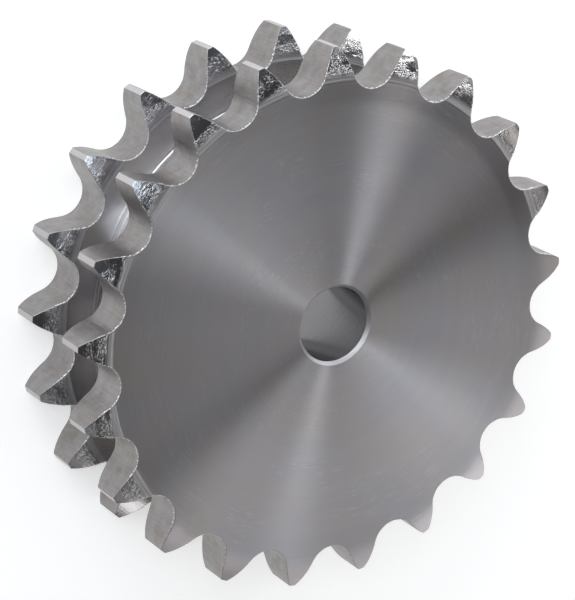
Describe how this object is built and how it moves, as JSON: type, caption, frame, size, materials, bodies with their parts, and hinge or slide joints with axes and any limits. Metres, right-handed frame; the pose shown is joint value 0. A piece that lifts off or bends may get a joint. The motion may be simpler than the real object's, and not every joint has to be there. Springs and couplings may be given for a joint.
{
  "type": "roller chain sprocket",
  "caption": "Duplex plate sprocket for roller chain: a flat steel wheel with two rows of pointed teeth, a turned groove between them and a plain round bore.",
  "frame": {"origin": "on the bore's axis, midway between the two flat faces", "axes": "+Z along the bore's axis, out of one flat face; +X through the middle of a tooth of each row"},
  "size_m": [0.1805, 0.181, 0.0476],
  "materials": {
    "steel": "turned faces, hobbed tooth gaps"
  },
  "bodies": {
    "root": {"sprocket": "steel"}
  },
  "joints": []
}
